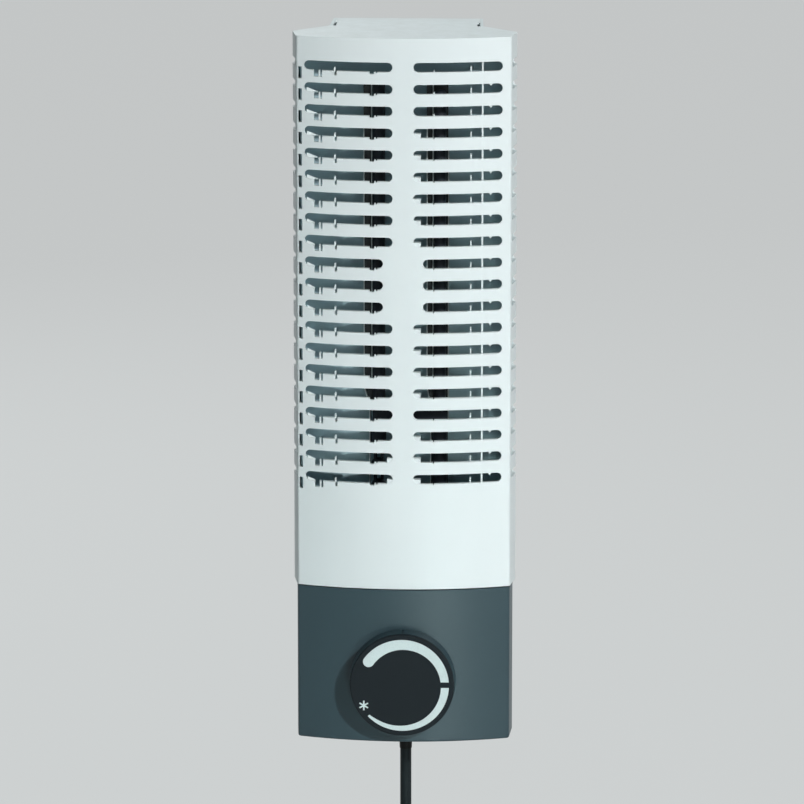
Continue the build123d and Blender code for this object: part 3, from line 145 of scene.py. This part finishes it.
def paint(look, *names):
    for name in names:
        data = nodes[name].data
        data.materials.clear()
        data.materials.append(look)


def flex_rubber(name, colour, bloom):
    made, tree, shader = new_material(name, colour, roughness=0.5, specular=0.15)
    lines = noise(tree, scale=2400, detail=2.0, along=(1.0, 1.0, 0.03))
    film = noise(tree, scale=60, detail=5.0, rough=0.65)
    grain = noise(tree, scale=5200, detail=2.0)
    tinted(tree, shader, ramp(tree, film, 0.45, 0.8), bloom)
    roughened(tree, shader, film, smoothest=0.42, roughest=0.6)
    bumped(tree, shader, lines, strength=0.12)
    bumped(tree, shader, grain, strength=0.15)
    return made


rubber = flex_rubber("flex_rubber", "#161f21", "#1e2729")
tie_rubber = flex_rubber("tie_rubber", "#111415", "#1c1f20")
gland_rubber = flex_rubber("gland_rubber", "#070909", "#0d0f10")

FLEX = 6.4
flex_y = -38.0
exit_z = -214.5
drop_heights = (-236.0, -262.0)
# the hank: how far apart its layers lie, how wide its folds and its waist are, and how long its runs
passes = 7
layer = 7.1
fold_radius = 19.2
waist_out = 4.8
half_step = 4.3
half_run = 50.0
hank_top = -256.0
shoulder = 46.0
waist_z = hank_top - shoulder - half_run
quarter = half_run / 4
# where a fold's points stand, as shares of its radius and of the step from one pass to the next
corner = 0.414
step_begins, step_ends = 0.3, 0.7


def side_of(number):
    return 1 if number % 2 == 0 else -1


def steps_out(number):
    return min(number, passes - 1 - number)


def fold_of(number):
    return side_of(number) * (fold_radius + steps_out(number) * half_step)


def depth_of(number):
    return flex_y - layer * (1 if number < passes // 2 else 2)


def hank_points():
    high = waist_z + half_run
    low = waist_z - half_run
    points = [(0, flex_y, z) for z in (exit_z, *drop_heights, high - quarter)]
    for number in range(passes):
        out = fold_of(number)
        middle = side_of(number) * (waist_out + steps_out(number) * half_step)
        upper_y = waist_y = lower_y = depth_of(number)
        if number in (0, passes // 2):
            # these two change layers at the waist, so they cross it halfway between
            waist_y += layer / 2
        if number == passes // 2:
            lower_y += layer
        if number == passes - 1:
            middle = 0.0
            waist_y -= layer
        run = [
            (out, upper_y, high - quarter),
            (middle, waist_y, waist_z + quarter),
            (middle, waist_y, waist_z - quarter),
            (out, lower_y, low + quarter),
        ]
        if number == 0:
            # the straight drop comes in at the waist
            run = run[1:]
        if number == passes - 1:
            # the last pass leaves the waist for the plug
            return points + run[:2]
        downward = number % 2 == 0
        if not downward:
            run.reverse()
        points += run
        # the fold into the next pass
        after_out = fold_of(number + 1)
        after_y = depth_of(number + 1)
        if number + 1 == passes // 2:
            after_y += layer
        start_y = lower_y if downward else upper_y
        step_y = after_y - start_y
        radius = abs(out - after_out) / 2
        turn = -1 if downward else 1
        end_z = low if downward else high
        inward = -side_of(number) * (1 - corner) * radius
        points += [
            (out, start_y, end_z + turn * corner * radius),
            (out + inward, start_y + step_y * step_begins, end_z + turn * radius),
            (after_out - inward, start_y + step_y * step_ends, end_z + turn * radius),
            (after_out, after_y, end_z + turn * corner * radius),
        ]


tail_y = depth_of(passes - 1) - layer
tail_forward = 3.6
plug_y = tail_y - tail_forward
below_waist, bend_end, plug_top = 8.0, 17.0, 28.4
route = hank_points() + [
    (0, tail_y, waist_z - below_waist),
    (0, plug_y, waist_z - bend_end),
    (0, plug_y, waist_z - plug_top),
]
flex_curve = bpy.data.curves.new("flex", "CURVE")
flex_curve.dimensions = "3D"
flex_curve.bevel_depth = FLEX / 2 * MM
flex_curve.bevel_resolution = 6
flex_curve.resolution_u = 8
spline = flex_curve.splines.new("NURBS")
spline.points.add(len(route) - 1)
for point, place in zip(spline.points, route):
    point.co = (*(value * MM for value in place), 1.0)
spline.order_u = 3
spline.use_endpoint_u = True
flex = bpy.data.objects.new("flex", flex_curve)
scene.collection.objects.link(flex)
flex_curve.materials.append(rubber)
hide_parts("cord", "cord_hank")
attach(flex, "root")
paint(rubber, "cord_inner", "plug_body")
paint(tie_rubber, "hank_tie")
paint(gland_rubber, "cord_gland")


# The plug's two pins are brass with a thin nickel plating, turned and then polished, so that fine lines
# run round them. They stand in the plug's flat rubber body.
def nickel_plating():
    made, tree, shader = new_material("plug_nickel", "#cbc8c0", roughness=0.24, metal=1.0)
    turned = noise(tree, scale=900, along=(0.1, 1.0, 1.0))
    roughened(tree, shader, turned, smoothest=0.18, roughest=0.32)
    return made


paint(nickel_plating(), "plug_pins")


# The wall bracket and the inner chassis are zinc plated sheet: pale grey, with rolling marks down the
# sheet and soft flakes of lighter and darker zinc. The bracket is screwed to the wall, and the chassis
# to the casing's folded lips.
def zinc_sheet():
    made, tree, shader = new_material("zinc_sheet", "#a6aaac", roughness=0.36, metal=1.0)
    rolled = noise(tree, scale=900, along=(1.0, 1.0, 0.06))
    flakes = tree.nodes.new("ShaderNodeTexVoronoi")
    flakes.inputs["Scale"].default_value = 170
    tree.links.new(mapped(tree), flakes.inputs["Vector"])
    tinted(tree, shader, ramp(tree, flakes.outputs["Distance"], 0.1, 0.7, to_high=0.5), "#8d9294")
    roughened(tree, shader, rolled, smoothest=0.28, roughest=0.46)
    bumped(tree, shader, rolled, strength=0.06)
    return made


paint(zinc_sheet(), "wall_bracket", "control_chassis", "rod_spacers", "limiter_clip")


# The screws, the lever's pin and the knob's clip are zinc plated steel, dulled in patches by handling.
# The screws hold the cover, the panel and the chassis to the casing, and fasten the small fittings.
def plated_screw():
    made, tree, shader = new_material("plated_screw", "#a7a8a6", roughness=0.3, metal=1.0)
    wear = noise(tree, scale=700, detail=4.0)
    tinted(tree, shader, ramp(tree, wear, 0.5, 0.75, to_high=0.6), "#7e7f7d")
    roughened(tree, shader, wear, smoothest=0.22, roughest=0.42)
    return made


paint(plated_screw(), "bracket_lock_screw", "cover_screws", "panel_side_screws", "panel_floor_screws",
      "chassis_screws", "thermostat_screws", "clamp_screws", "lever_pin", "knob_clip")


# The rear casing is one folded steel channel with a white powder coat, whose surface has the fine
# ripple of orange peel. It holds the body off the wall.
def powder_coat():
    made, tree, shader = new_material("casing_powder", "#cdd9da", roughness=0.42)
    peel = noise(tree, scale=620, detail=2.0)
    dust = noise(tree, scale=18, detail=5.0, rough=0.65, along=(1.0, 1.0, 0.5))
    tinted(tree, shader, ramp(tree, dust, 0.5, 0.85, to_high=0.5), "#bfcaca")
    roughened(tree, shader, dust, smoothest=0.36, roughest=0.5)
    bumped(tree, shader, peel, strength=0.3)
    return made


paint(powder_coat(), "rear_casing")


# The plate behind the louvres is steel in a heat-resistant grey paint, a little darkened in patches by
# the rods. It is screwed to the casing's lips in front of the chassis line.
def chamber_paint():
    made, tree, shader = new_material("chamber_grey", "#a8c0c8", roughness=0.6)
    patches = noise(tree, scale=34, detail=4.0, along=(1.0, 1.0, 0.4))
    grain = noise(tree, scale=1300, detail=2.0)
    tinted(tree, shader, ramp(tree, patches, 0.45, 0.8, to_high=0.55), "#9fb4bb")
    roughened(tree, shader, patches, smoothest=0.48, roughest=0.64)
    bumped(tree, shader, grain, strength=0.25)
    return made


paint(chamber_paint(), "reflector", "rod_top_strap")


# The heating rods are steel tubes with a black oxide skin, mottled where they run hottest. Their lower
# ends stand in black sleeves, and a black strap holds the pair off the plate.
def black_oxide():
    made, tree, shader = new_material("rod_oxide", "#1e242b", roughness=0.52, specular=0.3)
    mottling = noise(tree, scale=160, detail=5.0, rough=0.7, along=(1.0, 1.0, 0.35))
    grain = noise(tree, scale=2600)
    tinted(tree, shader, ramp(tree, mottling, 0.5, 0.75, to_high=0.7), "#262930")
    roughened(tree, shader, mottling, smoothest=0.42, roughest=0.66)
    bumped(tree, shader, grain, strength=0.3)
    return made


paint(black_oxide(), "heating_rod_left", "heating_rod_right", "rod_sleeves", "rod_strap",
      "strap_standoff", "strap_screw")


# A thin folded steel channel stands behind each rod. It is blackened as the rods are, but its front
# edges are bare where the sheet was sheared. Their near-white colour is partly a painted highlight, so
# that they show through the slots as pale lines.
def product(tree, first, second):
    made = tree.nodes.new("ShaderNodeMath")
    made.operation = "MULTIPLY"
    tree.links.new(first, made.inputs[0])
    tree.links.new(second, made.inputs[1])
    return made.outputs[0]


def channel_black():
    made, tree, shader = new_material("channel_black", "#14191d", roughness=0.5)
    marks = noise(tree, scale=300, along=(1.0, 1.0, 0.2))
    tinted(tree, shader, ramp(tree, marks, 0.5, 0.8, to_high=0.6), "#20262a")
    place = tree.nodes.new("ShaderNodeTexCoord")
    position = tree.nodes.new("ShaderNodeSeparateXYZ")
    facing = tree.nodes.new("ShaderNodeSeparateXYZ")
    tree.links.new(place.outputs["Object"], position.inputs["Vector"])
    tree.links.new(place.outputs["Normal"], facing.inputs["Vector"])
    # bare is what faces forward and stands in front of the fold; its near-white is partly painted
    # highlight, and edges set back from the front are painted darker, as painted shade
    forward = ramp(tree, facing.outputs["Y"], -0.8, -0.95)
    proud = ramp(tree, position.outputs["Y"], -0.0570, -0.0578)
    set_back_painted_shade = ramp(tree, position.outputs["Y"], -0.0596, -0.0599, to_low=0.6)
    # painted highlight on the bare edges, with painted shade on those set further back
    tinted(tree, shader, product(tree, product(tree, forward, proud), set_back_painted_shade), "#eef4f4")
    roughened(tree, shader, marks, smoothest=0.44, roughest=0.58)
    return made


paint(channel_black(), "rod_cradle_left", "rod_cradle_right")


# The dark beads under the left rod are glazed ceramic. The bushes that carry the rods' ends through the
# shelf are white ceramic without a glaze, so they are rougher.
def ceramic(name, colour, speck, roughness):
    made, tree, shader = new_material(name, colour, roughness)
    specks = noise(tree, scale=1900, detail=2.0)
    tinted(tree, shader, ramp(tree, specks, 0.6, 0.75, to_high=0.7), speck)
    roughened(tree, shader, specks, smoothest=roughness - 0.06, roughest=roughness + 0.08)
    bumped(tree, shader, specks, strength=0.15)
    return made


paint(ceramic("ceramic_dark", "#1a1f25", "#2a3036", roughness=0.35), "insulator_beads")
paint(ceramic("ceramic_white", "#dcd9cf", "#c8c2b2", roughness=0.6), "shelf_bushes")


# The thermostat, the cut-out and the terminal block are cream heat-resistant mouldings, with brass
# tabs and screws and copper alloy strips. They sit behind the lower panel and the plate.
def cream_moulding():
    made, tree, shader = new_material("switch_cream", "#d8d2bf", roughness=0.5)
    flow = noise(tree, scale=120, detail=4.0, along=(1.0, 0.4, 1.0))
    grain = noise(tree, scale=2400, detail=2.0)
    tinted(tree, shader, ramp(tree, flow, 0.45, 0.8), "#cbc3ab")
    roughened(tree, shader, flow, smoothest=0.44, roughest=0.58)
    bumped(tree, shader, grain, strength=0.12)
    return made


def drawn_metal(name, colour, tarnish):
    made, tree, shader = new_material(name, colour, roughness=0.3, metal=1.0)
    drawn = noise(tree, scale=1500, along=(1.0, 1.0, 0.1))
    tinted(tree, shader, ramp(tree, drawn, 0.4, 0.8), tarnish)
    roughened(tree, shader, drawn, smoothest=0.22, roughest=0.4)
    return made


def ground_magnet():
    made, tree, shader = new_material("magnet", "#1b1b1d", roughness=0.5)
    ground = noise(tree, scale=1800, along=(1.0, 0.1, 1.0))
    tinted(tree, shader, ramp(tree, ground, 0.5, 0.8), "#2c2c2f")
    roughened(tree, shader, ground, smoothest=0.4, roughest=0.6)
    return made


paint(cream_moulding(), "limiter_body", "thermostat_box", "thermostat_cam", "thermostat_lever",
      "terminal_block", "cord_clamp")
paint(drawn_metal("brass", "#c9a75c", "#b08c45"), "limiter_tabs", "thermostat_spindle",
      "thermostat_tabs", "terminal_screws")
paint(drawn_metal("copper_alloy", "#b97b5a", "#9c6245"), "bimetal_strip", "contact_spring")
paint(ground_magnet(), "snap_magnet")


# The leads are stranded wire in silicone, and the flex's two cores in brown and blue sheath. They run
# from the terminal block to the thermostat, the cut-out and the rods' ends.
def wire_sheath(name, colour, scuff, roughness):
    made, tree, shader = new_material(name, colour, roughness)
    film = noise(tree, scale=260, detail=4.0)
    grain = noise(tree, scale=3600, detail=2.0)
    tinted(tree, shader, ramp(tree, film, 0.5, 0.8), scuff)
    roughened(tree, shader, film, smoothest=roughness - 0.08, roughest=roughness + 0.08)
    bumped(tree, shader, grain, strength=0.1)
    return made


paint(wire_sheath("brown_wire", "#5a3a26", "#472c1b", roughness=0.45), "core_live", "lead_live")
paint(wire_sheath("blue_wire", "#2c4c8c", "#223d74", roughness=0.45), "core_neutral", "lead_neutral")
paint(wire_sheath("white_wire", "#d6d6cf", "#c3c3ba", roughness=0.55), "lead_switched", "lead_limited",
      "lead_link")


# The cover is one white moulding with forty louvre slots: satin, with a fine spark-eroded grain, and a
# trace of dust on whatever faces up. Its edges are slightly rounded by the mould.
def soften_edges(name, width):
    rounding = nodes[name].modifiers.new("edge_rounding", "BEVEL")
    rounding.width = width * MM
    rounding.segments = 2
    rounding.limit_method = "ANGLE"
    rounding.angle_limit = radians(40)
    rounding.use_clamp_overlap = True


def moulded(name, colour, drift_colour, smoothest, roughest, grain, coat=0.0, specular=0.5):
    made, tree, shader = new_material(name, colour, smoothest, coat=coat, specular=specular)
    drift = noise(tree, scale=14, detail=4.0, along=(1.0, 1.0, 0.35))
    spark = noise(tree, scale=3000)
    tinted(tree, shader, ramp(tree, drift, 0.35, 0.8), drift_colour)
    roughened(tree, shader, spark, smoothest, roughest)
    bumped(tree, shader, spark, strength=grain, depth=0.0001)
    return made


def dusted(look, colour):
    tree = look.node_tree
    shader = tree.nodes["Principled BSDF"]
    place = tree.nodes.new("ShaderNodeTexCoord")
    facing = tree.nodes.new("ShaderNodeSeparateXYZ")
    tree.links.new(place.outputs["Normal"], facing.inputs["Vector"])
    upward = ramp(tree, facing.outputs["Z"], 0.6, 0.95)
    settled = ramp(tree, noise(tree, scale=90, detail=5.0, rough=0.7), 0.35, 0.8, to_high=0.6)
    tinted(tree, shader, product(tree, upward, settled), colour)


cover_white = moulded("cover_white", "#dfe8e9", "#d9e3e4", smoothest=0.36, roughest=0.5, grain=0.12,
                      coat=0.06, specular=0.35)
dusted(cover_white, "#c9d2cf")
paint(cover_white, "front_cover")
soften_edges("front_cover", width=0.25)

# The lower panel is a smooth blue-grey moulding that carries the dial in a raised collar. It catches a
# broad soft highlight up and to the right of the dial.
panel_grey = moulded("panel_grey", "#2f444b", "#2c4047", smoothest=0.34, roughest=0.46, grain=0.08,
                     specular=0.42)
paint(panel_grey, "control_panel", "dial_collar")
soften_edges("control_panel", width=0.25)
soften_edges("dial_collar", width=0.2)

# The knob is a near-black satin disc, moulded in one piece and held on its spindle by a clip. The pale
# scale and the frost mark are printed on it in thick, slightly chalky ink.
knob_dark = moulded("knob_dark", "#181f23", "#1b2226", smoothest=0.46, roughest=0.58, grain=0.1,
                    specular=0.12)
paint(knob_dark, "thermostat_knob")


def chalky_ink():
    made, tree, shader = new_material("print_pale", "#ccdcdc", roughness=0.6)
    ink = noise(tree, scale=1300, detail=4.0, rough=0.7)
    tinted(tree, shader, ramp(tree, ink, 0.45, 0.75), "#c0d1d1")
    roughened(tree, shader, ink, smoothest=0.52, roughest=0.68)
    bumped(tree, shader, ink, strength=0.08)
    return made


paint(chalky_ink(), "knob_scale", "knob_frost_mark")

# A plain pale floor lies well below the heater, matt and slightly uneven in tone. It glows by itself
# where it is looked at, so that it is pale without more light on the heater, and keeps a shadow.
floor_reach = 12.0
floor_z = -0.5
floor_corners = [(-floor_reach, -floor_reach, floor_z), (floor_reach, -floor_reach, floor_z),
                 (floor_reach, floor_reach, floor_z), (-floor_reach, floor_reach, floor_z)]
floor_mesh = bpy.data.meshes.new("floor")
floor_mesh.from_pydata(floor_corners, [], [(0, 1, 2, 3)])
floor = bpy.data.objects.new("floor", floor_mesh)
scene.collection.objects.link(floor)
floor_look, floor_tree, floor_shader = new_material("floor", "#c6cccc", roughness=0.9)
tinted(floor_tree, floor_shader, noise(floor_tree, scale=3.0), "#c3c9c9")
floor_mesh.materials.append(floor_look)


def seen_directly(tree):
    # 1 where the camera, a mirror or clear glass looks at the backdrop, 0 where it only gives light
    rays = tree.nodes.new("ShaderNodeLightPath")
    total = rays.outputs["Is Camera Ray"]
    for kind in ("Is Glossy Ray", "Is Transmission Ray"):
        either = tree.nodes.new("ShaderNodeMath")
        either.operation = "MAXIMUM"
        tree.links.new(total, either.inputs[0])
        tree.links.new(rays.outputs[kind], either.inputs[1])
        total = either.outputs[0]
    return total


def blended(tree, share, first, second, output):
    made = tree.nodes.new("ShaderNodeMixShader")
    tree.links.new(share, made.inputs[0])
    tree.links.new(first.outputs[0], made.inputs[1])
    tree.links.new(second.outputs[0], made.inputs[2])
    tree.links.new(made.outputs[0], tree.nodes[output].inputs["Surface"])


pale_glow = floor_tree.nodes.new("ShaderNodeEmission")
pale_glow.inputs["Color"].default_value = linear("#e6e9e9")
pale_glow.inputs["Strength"].default_value = 0.85
glow_share = ramp(floor_tree, seen_directly(floor_tree), 0.0, 1.0, to_high=0.8)
blended(floor_tree, glow_share, floor_shader, pale_glow, "Material Output")


# The lamps are round panels. A small strong one up and to the right throws the knob's crisp shadow, two
# light the top and the back, a low one gives the panel its soft sheen, and one fills in from the left.
def area_light(name, place, size, power, colour, aim=(0.0, -0.07, 0.0), cone=180.0):
    data = bpy.data.lights.new(name, "AREA")
    data.shape = "DISK"
    data.size = size
    data.energy = power
    data.spread = radians(cone)
    data.color = colour
    light = bpy.data.objects.new(name, data)
    light.location = place
    light.rotation_mode = "QUATERNION"
    light.rotation_quaternion = (Vector(aim) - Vector(place)).to_track_quat("-Z", "Y")
    scene.collection.objects.link(light)


area_light("key", place=(1.16, -2.0, 0.94), size=0.14, power=50, colour=(1.0, 0.985, 0.985))
area_light("top", place=(0.1, 0.55, 2.2), size=0.7, power=18, colour=(0.92, 1.0, 1.02))
area_light("back", place=(-0.9, 2.3, 0.9), size=1.2, power=18, colour=(0.96, 1.0, 1.0))
area_light("low", place=(0.26, -1.32, -0.43), size=0.26, power=0.2, colour=(0.8, 1.0, 1.0),
           aim=(0.02, -0.08, -0.14), cone=45.0)
area_light("fill", place=(-2.4, -1.7, 0.3), size=1.6, power=0.8, colour=(0.7, 1.0, 1.02))

# The room is a plain pale backdrop. The camera and the gloss see it bright, but it lights the heater
# only faintly, so that the shadows in the slots stay deep.
world = bpy.data.worlds.new("world")
world.use_nodes = True
world_tree = world.node_tree
room_light = world_tree.nodes["Background"]
room_light.inputs["Color"].default_value = (0.82, 0.95, 1.0, 1.0)
room_light.inputs["Strength"].default_value = 0.01
backdrop = world_tree.nodes.new("ShaderNodeBackground")
backdrop.inputs["Color"].default_value = (0.86, 0.88, 0.89, 1.0)
backdrop.inputs["Strength"].default_value = 0.75
blended(world_tree, seen_directly(world_tree), room_light, backdrop, "World Output")
scene.world = world
scene.view_settings.view_transform = "Standard"
